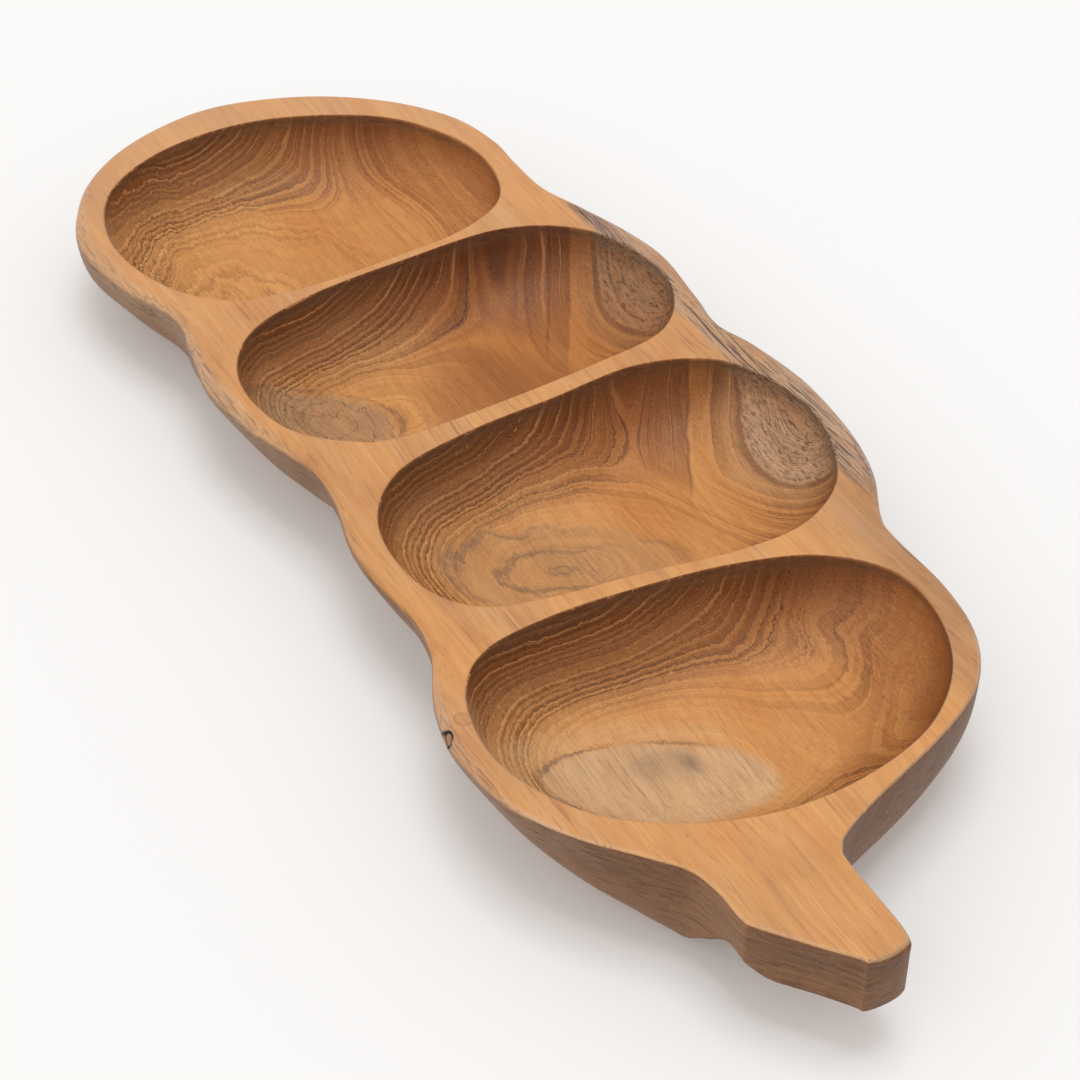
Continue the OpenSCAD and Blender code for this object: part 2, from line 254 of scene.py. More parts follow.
def quads(start, rows, count):
    """Quads of a stack of closed rings: rows of count vertices, numbered on from start."""
    r, i = np.meshgrid(np.arange(rows - 1), np.arange(count), indexing="ij")
    j = (i + 1) % count
    a = start + r * count
    return np.stack([a + i, a + count + i, a + count + j, a + j], -1).reshape(-1, 4)


# The outside, closed by the flat base, and each hollow, closed by a point at its middle.
ring_count = outer.shape[1]
verts, edge_loops = [outer.reshape(-1, 3)], [np.arange(ring_count)]
faces = quads(0, len(outer), ring_count).tolist()
faces.append([(len(outer) - 1) * ring_count + i for i in range(ring_count)][::-1])
start = len(verts[0])
for hollow, centre in hollows:
    rows, count = hollow.shape[:2]
    verts.append(hollow.reshape(-1, 3))
    faces += quads(start, rows, count)[:, ::-1].tolist()
    edge_loops.append(start + np.arange(count))
    base = start + (rows - 1) * count
    verts.append(np.array([[*centre, hollow[-1, :, 2].mean() - CENTRE_DIP]]))
    last = start + rows * count
    faces += [[base + i, base + (i + 1) % count, last] for i in range(count)]
    start = last + 1
points = np.concatenate(verts)

# The flat top is filled between the edge and the four compartments, with a line of points close
# to each edge so that its shading stays flat.
near, ties = [], []
for number, loop in enumerate(edge_loops):
    line = points[loop][:, :2]
    step = np.roll(line, -1, 0) - np.roll(line, 1, 0)
    aside = np.stack([-step[:, 1], step[:, 0]], 1) / np.linalg.norm(step, axis=1)[:, None]
    near.append(line + aside * (TOP_BORDER if number == 0 else -TOP_BORDER))
flat = [points[loop][:, :2] for loop in edge_loops]
given = np.concatenate(flat + near)
at = 0
for line in flat + near:
    n = len(line)
    ties += [(at + i, at + (i + 1) % n) for i in range(n)]
    at += n
found = delaunay_2d_cdt([tuple(spot) for spot in given], ties, [], 0, 1e-7)
spots = np.array([tuple(spot) for spot in found[0]])
sources = found[3]
known = np.concatenate(edge_loops)
number_of = {}
extra = []
for i, source in enumerate(sources):
    first = [s for s in source if s < len(known)]
    if first:
        number_of[i] = int(known[first[0]])
    else:
        number_of[i] = start + len(extra)
        extra.append([spots[i, 0], spots[i, 1], HEIGHT])
tris = np.array(found[2])
centres = spots[tris].mean(1)
keep = within(centres, flat[0])
for line in flat[1:]:
    keep &= ~within(centres, line)
faces += [[number_of[i] for i in tri] for tri in tris[keep].tolist()]
points = np.concatenate([points, np.array(extra)])

# Brought to the CAD solid's own box, in metres.
least, most = points.min(0), points.max(0)
box_low, box_high = (np.array(corner) for corner in cad_box)
points = box_low + (points - least) / (most - least) * (box_high - box_low)

mesh = bpy.data.meshes.new("carved_tray")
mesh.from_pydata(points.tolist(), [], faces)
mesh.validate()
mesh.shade_smooth()
tray = bpy.data.objects.new("carved_tray", mesh)
bpy.context.scene.collection.objects.link(tray)


# The knot's seat is bored into the rounded edge beside the fourth compartment: its place as shares
# of the length, width and EDGE_ROUND, its lean from upright and its turn about Z. The knot's
# diameters and depth, the bark ring's wall with its gap on both sides, the seat's flare and how
# far it reaches past the surface are in millimetres.
KNOT_X_SHARE, KNOT_Y_SHARE, KNOT_EASE_SHARE = 0.234, -0.494, 0.66
KNOT_LEAN, KNOT_TURN = np.radians(74.0), np.radians(-98.0)
KNOT_D, KNOT_ROOT_D, KNOT_DEEP = 3.2, 1.8, 6.0
SEAT_WALL, SEAT_FLARE, SEAT_OVERRUN, SEAT_SIDES = 0.9, 0.175, 1.5, 32
knot_ease = KNOT_EASE_SHARE * EDGE_ROUND
inset = knot_ease * (1 - np.sin(KNOT_LEAN))
knot_at = np.array([KNOT_X_SHARE * LENGTH - inset * np.cos(KNOT_TURN),
                    KNOT_Y_SHARE * WIDTH - inset * np.sin(KNOT_TURN),
                    HEIGHT - knot_ease * (1 - np.cos(KNOT_LEAN))])
turn = Matrix.Rotation(KNOT_TURN, 3, "Z") @ Matrix.Rotation(KNOT_LEAN, 3, "Y")
angles = np.linspace(0.0, 2 * np.pi, SEAT_SIDES + 1)[:-1]
plug = []
for depth, radius in ((-KNOT_DEEP, KNOT_ROOT_D / 2 + SEAT_WALL),
                      (SEAT_OVERRUN, KNOT_D / 2 + SEAT_WALL + SEAT_FLARE)):
    for a in angles:
        plug.append(knot_at + np.array(turn @ Vector((radius * np.cos(a), radius * np.sin(a), depth))))
seat_mesh = bpy.data.meshes.new("seat")
seat_faces = [[i, (i + 1) % SEAT_SIDES, SEAT_SIDES + (i + 1) % SEAT_SIDES, SEAT_SIDES + i]
              for i in range(SEAT_SIDES)]
seat_faces += [list(range(SEAT_SIDES))[::-1], list(range(SEAT_SIDES, 2 * SEAT_SIDES))]
seat_mesh.from_pydata((np.array(plug) / MM).tolist(), [], seat_faces)
seat = bpy.data.objects.new("seat", seat_mesh)
bpy.context.scene.collection.objects.link(seat)
bore = tray.modifiers.new("seat", "BOOLEAN")
bore.operation, bore.solver, bore.object = "DIFFERENCE", "EXACT", seat
bpy.context.view_layer.update()
graph = bpy.context.evaluated_depsgraph_get()
bored = bpy.data.meshes.new_from_object(tray.evaluated_get(graph))
tray.modifiers.clear()
tray.data = bored
bpy.data.objects.remove(seat)
bpy.data.meshes.remove(mesh)
bpy.data.meshes.remove(seat_mesh)
bored.name = "carved_tray"

# Which way the surface faces, kept as an attribute for the wood's masks.
normals = np.zeros(len(bored.vertices) * 3, dtype=np.float32)
bored.vertex_normals.foreach_get("vector", normals)
layer = bored.attributes.new("facing", "FLOAT_VECTOR", "POINT")
layer.data.foreach_set("vector", normals)


class Shade:
    """One socket of a node tree. Sums and products of it add Math, Vector Math and Mix nodes."""

    def __init__(self, tree, socket):
        self.tree, self.socket = tree, socket

    def node(self, kind, inputs=None, output=0, **settings):
        """Any other node: settings are its properties, inputs its sockets by name or number."""
        made = self.tree.nodes.new(kind)
        for name, value in settings.items():
            setattr(made, name, value)
        for name, value in (inputs or {}).items():
            if isinstance(value, Shade):
                self.tree.links.new(value.socket, made.inputs[name])
            else:
                made.inputs[name].default_value = value
        return Shade(self.tree, made.outputs[output])

    def math(self, operation, other=0.0):
        """The Math node of that operation for this value and another."""
        return self.node("ShaderNodeMath", {0: self, 1: other}, operation=operation)

    def __add__(self, other):
        return self.math("ADD", other)

    def __sub__(self, other):
        return self.math("SUBTRACT", other)

    def __mul__(self, other):
        return self.math("MULTIPLY", other)

    def __truediv__(self, other):
        return self.math("DIVIDE", other)

    def __neg__(self):
        return self.math("MULTIPLY", -1.0)

    def __rsub__(self, other):
        return self.node("ShaderNodeMath", {0: other, 1: self}, operation="SUBTRACT")

    __radd__, __rmul__ = __add__, __mul__

    def up(self, low, high):
        """0 below low, 1 above high, smooth between."""
        return self.node("ShaderNodeMapRange", {"Value": self, "From Min": low, "From Max": high},
                         interpolation_type="SMOOTHSTEP")

    def down(self, low, high):
        """1 below low, 0 above high, smooth between."""
        return self.node("ShaderNodeMapRange",
                         {"Value": self, "From Min": low, "From Max": high, "To Min": 1.0, "To Max": 0.0},
                         interpolation_type="SMOOTHSTEP")

    def near(self, middle, full, gone):
        """1 within full of middle, 0 beyond gone from it, smooth between."""
        return (self - middle).math("ABSOLUTE").down(full, gone)

    def part(self, axis):
        """One coordinate of a vector."""
        return self.node("ShaderNodeSeparateXYZ", {0: self}, output="XYZ".index(axis))

    def scaled(self, factors):
        """The vector times a factor on each axis."""
        return self.node("ShaderNodeVectorMath", {0: self, 1: factors}, operation="MULTIPLY")

    def plus(self, other):
        """The sum of two vectors."""
        return self.node("ShaderNodeVectorMath", {0: self, 1: other}, operation="ADD")

    def noise(self, factors, detail=2.0, rough=0.5, warp=0.0):
        """Noise of the scaled vector, mostly between -1 and 1."""
        made = self.node("ShaderNodeTexNoise", {"Vector": self.scaled(factors), "Scale": 1.0,
                         "Detail": detail, "Roughness": rough, "Distortion": warp})
        return made * 3.2 - 1.6

    def flicker(self):
        """Noise of one number, mostly between -1 and 1."""
        made = self.node("ShaderNodeTexNoise", {"W": self, "Detail": 2.0}, noise_dimensions="1D")
        return made * 3.2 - 1.6

    def away(self, centre, radii):
        """The way from centre to this place, in units of the radii."""
        way = self.node("ShaderNodeVectorMath", {0: self, 1: centre}, operation="SUBTRACT")
        return way.scaled([1.0 / r for r in radii])

    def length(self):
        """The length of this vector."""
        return self.node("ShaderNodeVectorMath", {0: self}, output=1, operation="LENGTH")

    def spot(self, centre, radii):
        """exp(-d d), d being the distance from centre in units of the radii."""
        away = self.away(centre, radii)
        square = away.node("ShaderNodeVectorMath", {0: away, 1: away}, output=1, operation="DOT_PRODUCT")
        return (-square).math("EXPONENT")

    def mix(self, first, second):
        """Colour first where this is 0, second where it is 1."""
        def colour(c):
            return c if isinstance(c, Shade) else (*c, 1.0)
        return self.node("ShaderNodeMix", {0: self, 6: colour(first), 7: colour(second)}, output=2,
                         data_type="RGBA")

    def tint(self, colour):
        """This colour multiplied by another."""
        return self.node("ShaderNodeMix", {0: 1.0, 6: self, 7: (*colour, 1.0)}, output=2,
                         data_type="RGBA", blend_type="MULTIPLY")

    def line(self, middle, width):
        """1 where this value's fraction is middle, falling smoothly to 0 within width."""
        gap = ((self - (middle - 0.5)).math("FRACT") - 0.5).math("ABSOLUTE")
        return gap.down(0.0, width)


def new_material(name):
    """A material with one Principled shader; returns it, its shader and the place in millimetres."""
    made = bpy.data.materials.new(name)
    made.use_nodes = True
    tree = made.node_tree
    shader = next(n for n in tree.nodes if n.type == "BSDF_PRINCIPLED")
    where = tree.nodes.new("ShaderNodeTexCoord")
    return made, shader, Shade(tree, where.outputs["Object"]).scaled((MM,) * 3)


def feed(shader, colour, rough, height, strength, distance):
    """Links a colour, a roughness and a bump of that height, strength and distance to the shader."""
    bump = height.node("ShaderNodeBump", {"Height": height, "Strength": strength, "Distance": distance})
    for name, value in (("Base Color", colour), ("Roughness", rough), ("Normal", bump)):
        shader.id_data.links.new(value.socket, shader.inputs[name])


def coat(piece, material):
    """Gives a piece that one material."""
    piece.data.materials.clear()
    piece.data.materials.append(material)


# The wood is built up from masks and layers, with lengths in millimetres. The flat top and the
# worn, rounded outer edges count as the top; all else is cut surface: a floor, a wall or the outside.
teak, teak_shader, p = new_material("oiled_teak")
x, y, z = p.part("X"), p.part("Y"), p.part("Z")
facing = p.node("ShaderNodeAttribute", output=1, attribute_name="facing")
end_grain = facing.part("X").math("ABSOLUTE")
level = facing.part("Z")
sideways = facing.part("Y")
worn = y.down(-40.0, -30.0) * sideways.down(-0.25, -0.08) + y.up(40.0, 50.0) * sideways.up(0.08, 0.25)
flat_top = z.up(34.9, 35.7) * level.up(0.7, 0.95)
top = flat_top.math("MAXIMUM", worn * level.up(0.10, 0.40))
cut = 1.0 - top
floor_part = level.up(0.90, 0.995) * z.down(15.0, 20.0)
wall = 1.0 - floor_part
outside = level.down(-0.1, 0.35)
inside = cut * (1.0 - 0.75 * outside)

# Where each compartment lies along the tray, from the far end to the stem.
SPAN_1, SPAN_2, SPAN_3, SPAN_4 = (-210.0, -105.0), (-105.0, -14.0), (-14.0, 78.0), (78.0, 176.0)


def oval(centre, half_long, half_short, bearing, wobble=0.0):
    """Distance from an upright oval column, 1 on its edge: its long axis points bearing degrees
    from X, and the edge wanders by wobble. Faces that look down lie far off."""
    c, s = float(np.cos(np.radians(bearing))), float(np.sin(np.radians(bearing)))
    dx, dy = x - centre[0], y - centre[1]
    long = (dx * c + dy * s) / half_long
    short = (dy * c - dx * s) / half_short
    return (long * long + short * short).math("SQRT") + wobble + 9.0 * level.down(-0.4, -0.1)


def between(begin, end):
    """1 where x lies between two places, for what belongs to one compartment."""
    return x.up(begin - 3.0, begin + 3.0) * x.down(end - 3.0, end + 3.0)


# Growth rings follow the trunk's swelling: close together at -Y and low down, rising and
# widening towards +Y, where they turn round buried branches, and closing to ovals on the floors.
# ring counts them, waved by noise that is coarse in sway, middling in drift and fine in crimp.
sway = p.noise((0.010, 0.022, 0.03), 1.0)
drift = p.noise((0.03, 0.07, 0.08), 2.0)
crimp = p.noise((0.42, 0.75, 0.60), 2.0, 0.6)
calm = y.up(-5.0, 40.0)
steep = z.up(11.0, 19.0)
depth = (z - 42.0) / 30.0
spread = 1.0 - 1.02 * y.up(-34.0, 40.0)
middle = between(SPAN_2[0], SPAN_3[1])
ring = 16.0 * (1.0 - depth * depth) * spread
ring = ring - (1.0 - middle) * 0.11 * (y - 8.0).math("MAXIMUM", 0.0) * (0.4 + 0.6 * steep)
ring = (ring + (0.35 + 0.65 * steep) * ((0.8 - 0.50 * calm) * sway + (0.32 - 0.25 * calm) * drift)
        + (0.15 - 0.12 * calm) * (0.3 + 0.7 * steep) * crimp)

# The two buried branches, each with its middle and radii, and the ovals of the four floors.
BRANCH_2 = ((-59.0, 82.0, 41.0), (29.0, 31.0, 31.0))
BRANCH_3 = ((31.0, 82.0, 41.0), (31.0, 32.0, 32.0))
nearer = p.away(*BRANCH_2).length().math("MINIMUM", p.away(*BRANCH_3).length())
branch = nearer + 0.05 * drift + 0.01 * crimp
around = (2.0 - branch).math("MAXIMUM", 0.0)
ring = ring + 6.5 * around * around / (around + 0.35) + 7.0 * (1.0 - branch).math("MAXIMUM", 0.0)
pale = oval((129.0, -33.0), 34.0, 17.5, 66.0, 0.030 * crimp + 0.06 * drift)
nest = oval((37.0, -13.0), 40.0, 21.0, 66.0, 0.10 * drift + 0.03 * crimp)
ashen = oval((-58.0, -44.0), 16.0, 26.0, -24.0, 0.14 * drift + 0.04 * crimp)
flames = oval((-140.0, -66.0), 52.0, 34.0, 60.0, 0.26 * drift + 0.06 * crimp)
for shape, rise, limit, span in ((pale, 2.8, 6.0, SPAN_4), (nest, 3.2, 2.2, SPAN_3),
                                 (ashen, 2.2, 2.2, SPAN_2), (flames, 5.0, 2.0, SPAN_1)):
    ring = ring + between(*span) * rise * (shape.math("MINIMUM", limit) - 1.0)
ring = ring + 0.40 * (ring * 0.6).flicker()

# Through one ring: a thin gold thread of pores, then dark late wood that fades out. Three finer
# folds with glowing edges lie in each ring, and whole groups of rings are strong or faint.
saw = ring.math("FRACT")
late = saw.up(0.0, 0.05) * saw.down(0.04, 0.62)
thread = 1.0 - (saw.up(0.0, 0.07) * saw.down(0.91, 0.98))
fold = (ring * 3.0 + 0.30 * crimp + 0.3).math("FRACT").down(0.0, 0.55)
broken = p.noise((0.30, 0.50, 0.8), 2.0).up(-0.5, 0.5)
glow = (ring * 3.0 + 0.30 * crimp).line(0.20, 0.20) * broken
far = x.down(-130.0, -95.0)
band = (ring * 0.3 + 7.0).flicker()
strong = (band + 0.25 * drift).up(-0.6, 0.8)
strong = strong + y.down(-20.0, 20.0) * 0.75 * (1.0 - strong)
strong = strong * (1.0 - 0.6 * far * y.up(-5.0, 30.0))

# Fibres and open pores run along X, a little wandering; on the end grain they show as short
# dashes and specks.
wander = p.noise((0.009, 0.022, 0.02), 2.0) * 3.5
bent = p.plus(p.node("ShaderNodeCombineXYZ", {1: wander}))


def grain(lengthwise, across, detail=2.0, rough=0.5, warp=0.0):
    """Noise drawn out along the fibres, from its coarseness along and across them."""
    return bent.noise((lengthwise, across, across), detail, rough, warp)


fibre = grain(0.010, 0.42, 3.0)
streak = grain(0.020, 1.2, 3.0)
fine = grain(0.12, 2.6, 3.0, 0.7)
speck = grain(1.5, 2.6, 1.5)
glint = grain(0.9, 2.4, 1.5).up(0.55, 0.90)
pore = grain(0.20, 2.8, 1.5).up(0.50, 0.78) * grain(0.02, 0.06, 1.0).up(-0.7, 0.4)
cloud = grain(0.016, 0.04)
dash = grain(0.05, 0.8)
russet = (grain(0.010, 0.16, 3.0, 0.6) + 0.35 * fine).up(0.35, 0.75)

# Ground colour and late wood. The walls and the end grain turn darker towards the rim: partly the wood's
# own colour, partly painted shade.
GOLD, TAN, STRAW = (0.66, 0.31, 0.095), (0.48, 0.195, 0.058), (0.82, 0.48, 0.18)
WALL_SHADE_UMBER, BROWN = (0.27, 0.095, 0.028), (0.150, 0.052, 0.014)
END_GRAIN_SHADE_BROWN, LATE_BROWN = (0.20, 0.068, 0.020), (0.105, 0.034, 0.010)
left = y.down(-20.0, 25.0)
low = z.down(17.0, 29.0)
wood = (band.up(-0.5, 0.5) * cut * (0.9 - 0.6 * floor_part)).mix(GOLD, TAN)
# Painted shade mixed with the walls' own darker colour, strongest towards the rim and weaker in the far
# compartments.
wood = (cut * wall * (0.62 - 0.45 * low) * (1.0 - 0.60 * far)).mix(wood, WALL_SHADE_UMBER)
wood = (cut * end_grain * z.up(22.0, 36.0) * 0.50).mix(wood, END_GRAIN_SHADE_BROWN)
wood = (inside * late * strong * (0.95 - 0.62 * floor_part)).mix(wood, LATE_BROWN)
wood = (inside * fold * wall * strong * (0.25 + 0.35 * left)).mix(wood, BROWN)

# Smooth dark reddish tongues between the ring systems of compartments 3 and 2: a straight edge
# and then a clear golden band at their +Y side.
TONGUE_RED = (0.33, 0.128, 0.042)
for offset, clear, span in ((53.9, 0.0, SPAN_3), (3.8, 8.0, SPAN_2)):
    side = y + 0.55 * x - offset + 1.2 * drift
    here = between(*span) * cut * z.up(10.9, 12.4)
    tongue = side.down(clear - 0.5, clear + 0.6) * side.up(-26.0, -6.0)
    golden = here * side.up(clear - 0.5, clear + 0.6) * side.down(clear + 5.5, clear + 8.5)
    wood = (here * tongue * 0.60).mix(wood, TONGUE_RED)
    wood = (golden * 0.65).mix(wood, GOLD)
    wood = (here * side.math("ABSOLUTE").down(0.2, 0.9) * 0.5).mix(wood, BROWN)

# Gold threads, fainter on the floors and the calm +Y side and nearly gone where two ring systems
# of compartment 3 would fork; then the plain, reddish stretches.
THREAD_GOLD, FLOOR_GOLD = (0.76, 0.38, 0.14), (0.80, 0.42, 0.16)
PLAIN_RED, EMBER = (0.43, 0.180, 0.060), (0.36, 0.135, 0.042)
quiet = 1.0 - calm * (0.92 - 0.55 * middle)
quiet = quiet * (1.0 - 0.9 * p.spot((-9.0, 42.0, 30.0), (22.0, 12.0, 18.0)))
wood = (inside * thread * (0.90 - 0.68 * floor_part) * quiet).mix(wood, THREAD_GOLD)
wood = (inside * glow * wall * left * (0.15 + 0.75 * low)).mix(wood, STRAW)
gilded = inside * floor_part * between(SPAN_3[0], SPAN_4[1]) * y.down(5.0, 30.0)
wood = (gilded * 0.30).mix(wood, FLOOR_GOLD)
plain = between(*SPAN_4) * y.up(28.0, 50.0) * 0.62 + x.down(-120.0, -104.0) * y.up(36.0, 52.0) * 0.45
wood = (inside * plain).mix(wood, PLAIN_RED)
ember = oval((-46.0, 12.0), 30.0, 30.0, 0.0, 0.15 * drift).down(0.5, 1.15) * cut * (1.0 - outside)
wood = (ember * 0.55).mix(wood, EMBER)

# Pale grey-beige oval with a wavy dark edge and an eye, on the floor of compartment 4.
CREAM, BEIGE, BEIGE_GRAIN = (0.66, 0.42, 0.22), (0.66, 0.44, 0.26), (0.36, 0.215, 0.115)
OVAL_EDGE, EYE = (0.15, 0.105, 0.080), (0.15, 0.11, 0.085)
cream = pale.up(1.0, 1.06) * pale.down(1.25, 1.55) * (x + 0.6 * y).down(100.0, 125.0) * cut
wood = (cream * 0.38).mix(wood, CREAM)
wood = (pale.down(0.84, 1.06) * 0.72).mix(wood, BEIGE)
beige_lines = pale.down(0.93, 1.02) * grain(0.025, 1.1, 2.0, 0.6).up(-0.1, 0.7)
wood = (beige_lines * 0.42).mix(wood, BEIGE_GRAIN)
oval_edge = (pale + 0.025 * crimp).near(0.98, 0.0, 0.05) * (x + 0.6 * y).down(100.0, 122.0)
wood = (oval_edge * drift.up(-0.8, 0.6) * 0.80 * cut).mix(wood, OVAL_EDGE)
eye = p.spot((124.7, -21.3, 10.0), (5.0, 2.6, 5.0)) + 0.6 * p.spot((121.0, -30.0, 10.0), (7.0, 8.0, 6.0))
wood = (eye * 0.60).mix(wood, EYE)

# Nested ovals with bluish smudges on the floor of compartment 3.
NEST_BROWN, NEST_LINE, SMUDGE = (0.36, 0.21, 0.115), (0.15, 0.100, 0.072), (0.13, 0.105, 0.090)
inner = nest.down(0.80, 1.10)
wood = (inner * 0.35).mix(wood, NEST_BROWN)
nested = (nest * 2.5 + 0.42 * drift + 0.07 * crimp).line(0.25, 0.20)
wood = (inner * nested * sway.up(-0.9, 0.6) * 0.58).mix(wood, NEST_LINE)
smudge = p.spot((40.0, -5.0, 10.0), (9.0, 5.0, 6.0)) + 0.8 * p.spot((30.0, -14.0, 10.0), (9.0, 4.0, 6.0))
wood = (smudge * streak.up(-0.5, 0.6) * 0.45).mix(wood, SMUDGE)

# Grey floor at the left of compartment 2.
ASH, ASH_LINE = (0.30, 0.205, 0.135), (0.10, 0.062, 0.042)
wood = (ashen.down(0.70, 1.10) * 0.48 * cut).mix(wood, ASH)
ash_lines = (ashen * 2.4 + 0.9 * drift + 0.15 * crimp).line(0.5, 0.07)
wood = (ashen.down(0.85, 1.05) * ash_lines * 0.65 * cut).mix(wood, ASH_LINE)
wood = (ashen.near(1.0, 0.0, 0.07) * 0.5 * cut * drift.up(-0.9, 0.6)).mix(wood, ASH_LINE)

# Grey weathered wood of the buried branches, in the +Y ends of compartments 2 and 3.
HALO, DRIFTWOOD, SLATE = (0.50, 0.32, 0.175), (0.63, 0.425, 0.28), (0.075, 0.055, 0.048)
HIGH_GREY, DARK_DASH, HALO_EDGE = (0.12, 0.085, 0.065), (0.085, 0.045, 0.030), (0.16, 0.06, 0.028)
grey = branch.down(0.94, 1.04) * cut
halo = branch.down(1.04, 1.40) * cut - grey
wood = (halo * 0.45).mix(wood, HALO)
wood = (grey * (0.74 + 0.20 * drift)).mix(wood, DRIFTWOOD)
wood = (grey * fold * dash.up(-0.7, 0.3) * 0.90).mix(wood, SLATE)
wood = (grey * z.up(27.0, 34.5) * 0.38).mix(wood, HIGH_GREY)
wood = (grey * bent.noise((0.3, 1.3, 0.5), 2.0).up(0.15, 0.6) * 0.65).mix(wood, DARK_DASH)
wood = (branch.near(1.02, 0.01, 0.05) * cut * drift.up(-0.8, 0.3) * 0.6).mix(wood, HALO_EDGE)

# A sound knot and a hairline crack on the edge beside the stem's lobe.
KNOT_RED, KNOT_RIM, CRACK = (0.47, 0.20, 0.07), (0.25, 0.10, 0.035), (0.07, 0.035, 0.02)
disc = oval((103.3, -79.8), 2.6, 2.2, 20.0, 0.06 * crimp)
wood = (disc.down(0.85, 1.05) * top * 0.55).mix(wood, KNOT_RED)
wood = (disc.near(1.0, 0.0, 0.16) * z.up(33.0, 34.0) * 0.6).mix(wood, KNOT_RIM)
crack = (y + 83.6 + 0.055 * (x - 99.0) - 0.35 * crimp).math("ABSOLUTE").down(0.02, 0.17)
crack = crack * x.up(96.0, 99.0) * x.down(124.0, 132.0)
wood = (crack * z.up(31.0, 33.0) * 0.75).mix(wood, CRACK)

# Weathered band with blue-black dashes on the +Y edge of lobes 2 and 3, pale wood on the -Y edge.
BLEACHED, BLUE_BLACK, FLECK = (0.50, 0.36, 0.245), (0.075, 0.062, 0.062), (0.30, 0.10, 0.045)
SAPWOOD, SAP_STREAK = (0.66, 0.45, 0.27), (0.17, 0.10, 0.065)
edge_right = y.up(66.0, 70.0) * x.up(-120.0, -100.0) * x.down(66.0, 84.0) * z.up(30.0, 33.0)
wood = (edge_right * (0.75 + 0.2 * dash)).mix(wood, BLEACHED)
veins = grain(0.07, 2.1).up(-0.10, 0.40) * (y - 0.05 * x).down(76.0, 82.0)
wood = (edge_right * veins * 0.95).mix(wood, BLUE_BLACK)
wood = (edge_right * grain(0.25, 2.5, 1.0).up(0.3, 0.6) * 0.6).mix(wood, FLECK)
edge_left = y.down(-78.0, -66.0) * z.up(22.0, 30.0) * (1.0 - flat_top)
edge_left = edge_left * (x.down(-40.0, 20.0) + 0.7 * x.up(80.0, 100.0))
wood = (edge_left * 0.6).mix(wood, SAPWOOD)
wood = (edge_left * grain(0.06, 1.6).up(0.0, 0.5) * 0.7).mix(wood, SAP_STREAK)

# The grain over all of it; the end grain darker, partly its own colour and partly painted shade; and
# painted shade on the inside surfaces towards +Y.
PALE_FIBRE, UPPER_THREAD = (0.80, 0.50, 0.23), (0.58, 0.29, 0.115)
wood = (fibre.up(-0.4, 0.9) * 0.24).mix(wood, wood.tint((0.66, 0.46, 0.34)))
wood = (streak.up(0.0, 1.0) * (0.34 - 0.10 * top)).mix(wood, wood.tint((0.58, 0.42, 0.32)))
wood = (streak.down(-1.0, -0.1) * 0.20).mix(wood, STRAW)
wood = (fine.up(0.0, 0.9) * (0.50 - 0.22 * top)).mix(wood, wood.tint((0.52, 0.40, 0.32)))
wood = (fine.down(-0.9, -0.1) * 0.28).mix(wood, PALE_FIBRE)
wood = (speck.up(0.0, 0.8) * (0.15 + 0.45 * wall) * inside).mix(wood, wood.tint((0.48, 0.36, 0.28)))
wood = cloud.up(-0.1, 0.9).mix(wood, wood.tint((0.93, 0.84, 0.74)))
# End grain darker: partly the wood's own colour, partly painted shade.
wood = (end_grain.up(0.10, 0.80) * 0.62 * cut).mix(wood, wood.tint((0.38, 0.255, 0.150)))
# Painted shade on the inside surfaces towards +Y, deeper over compartment 2.
painted_shade_right = y.up(-25.0, 25.0) * cut * (1.0 - outside)
wood = (painted_shade_right * 0.50).mix(wood, wood.tint((0.86, 0.76, 0.66)))
wood = (painted_shade_right * between(-104.0, -20.0)).mix(wood, wood.tint((0.80, 0.70, 0.60)))
upper_thread = inside * thread * wall * quiet * (1.0 - low) * z.down(33.0, 34.8)
wood = (upper_thread * 0.40).mix(wood, UPPER_THREAD)

# The outside is darkened with painted shade, browner and greyer, with long streaks, and a painted
# highlight makes the top's corner pale towards the stem.
OUTSIDE_SHADE_BROWN, OUTSIDE_STREAK = (0.21, 0.140, 0.090), (0.34, 0.235, 0.155)
PAINTED_HIGHLIGHT, PORE_RED, GLINT_GOLD = (0.70, 0.47, 0.27), (0.26, 0.095, 0.040), (0.75, 0.42, 0.16)
# Painted shade: faces that look sideways or down turn darker and browner.
wood = (outside * 0.45).mix(wood, OUTSIDE_SHADE_BROWN)
lines = bent.noise((0.007, 0.22, 1.25), 4.0, 0.6)
wood = (outside * lines.up(-0.1, 0.6) * 0.85).mix(wood, wood.tint((0.50, 0.46, 0.44)))
wood = (outside * lines.down(-0.9, -0.1) * 0.35).mix(wood, OUTSIDE_STREAK)
# More painted shade, greyer, on the same faces.
wood = (outside * 0.60).mix(wood, wood.tint((0.60, 0.58, 0.60)))
# Painted highlight: a pale band on the rounded corner of the top towards the stem.
painted_highlight = level.up(0.25, 0.60) * level.down(0.85, 0.97) * z.up(34.6, 35.3) * x.up(100.0, 150.0)
wood = (painted_highlight * 0.42).mix(wood, PAINTED_HIGHLIGHT)
wood = (pore * 0.55).mix(wood, PORE_RED)
wood = (glint * cut * (0.15 + 0.20 * wall)).mix(wood, GLINT_GOLD)

